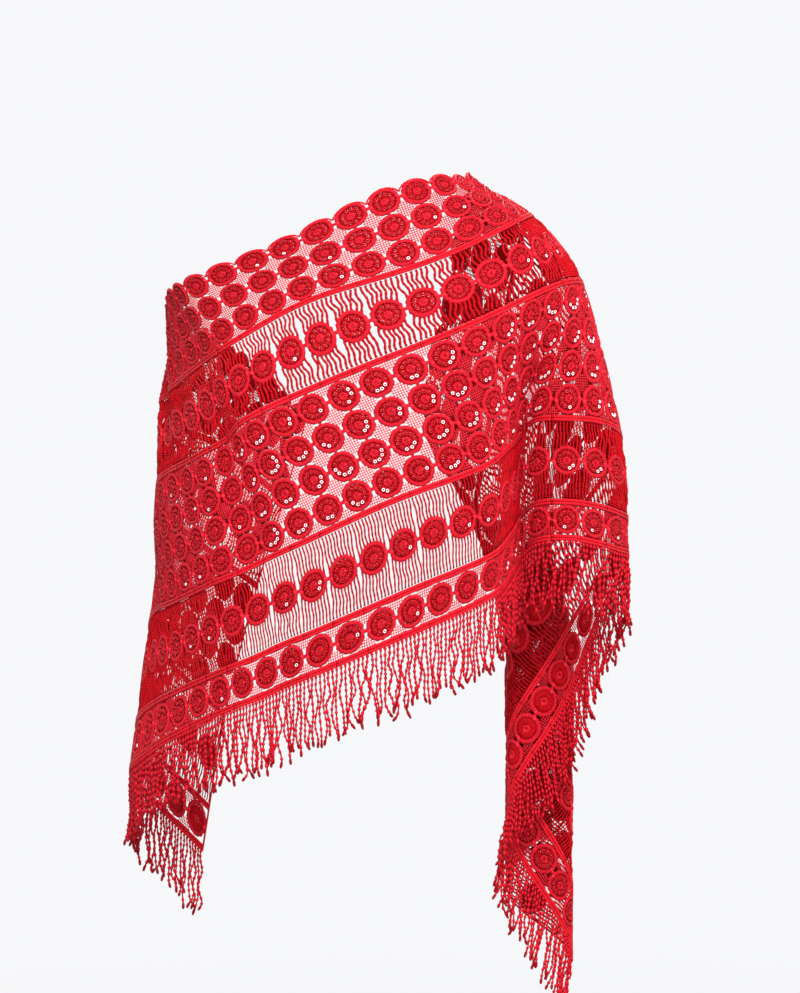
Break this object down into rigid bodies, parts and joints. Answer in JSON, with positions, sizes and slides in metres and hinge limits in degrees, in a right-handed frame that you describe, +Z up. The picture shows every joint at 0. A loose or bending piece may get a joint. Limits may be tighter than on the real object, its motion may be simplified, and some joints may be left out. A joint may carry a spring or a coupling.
{
  "type": "lace shawl",
  "caption": "Banded guipure lace stole with a scalloped edge and a strung fringe, in its worn form over both arms with one loose end hanging behind",
  "frame": {"origin": "where the shawl rests on top of the wearer's left shoulder", "axes": "+X to the wearer's left, -Y to the front, +Z up"},
  "size_m": [0.5066, 0.2856, 0.8793],
  "materials": {
    "lace": "satin embroidery thread, bright red",
    "fringe": "twisted thread, red"
  },
  "bodies": {
    "root": {"lace_right_fall": "lace", "lace_right_arm": "lace", "lace_front": "lace", "lace_left_arm": "lace", "lace_back_fall": "lace", "lace_tail": "lace", "fringe_right_fall": "fringe", "fringe_right_arm": "fringe", "fringe_front": "fringe", "fringe_left_arm": "fringe", "fringe_back_fall": "fringe", "fringe_tail": "fringe"}
  },
  "joints": []
}
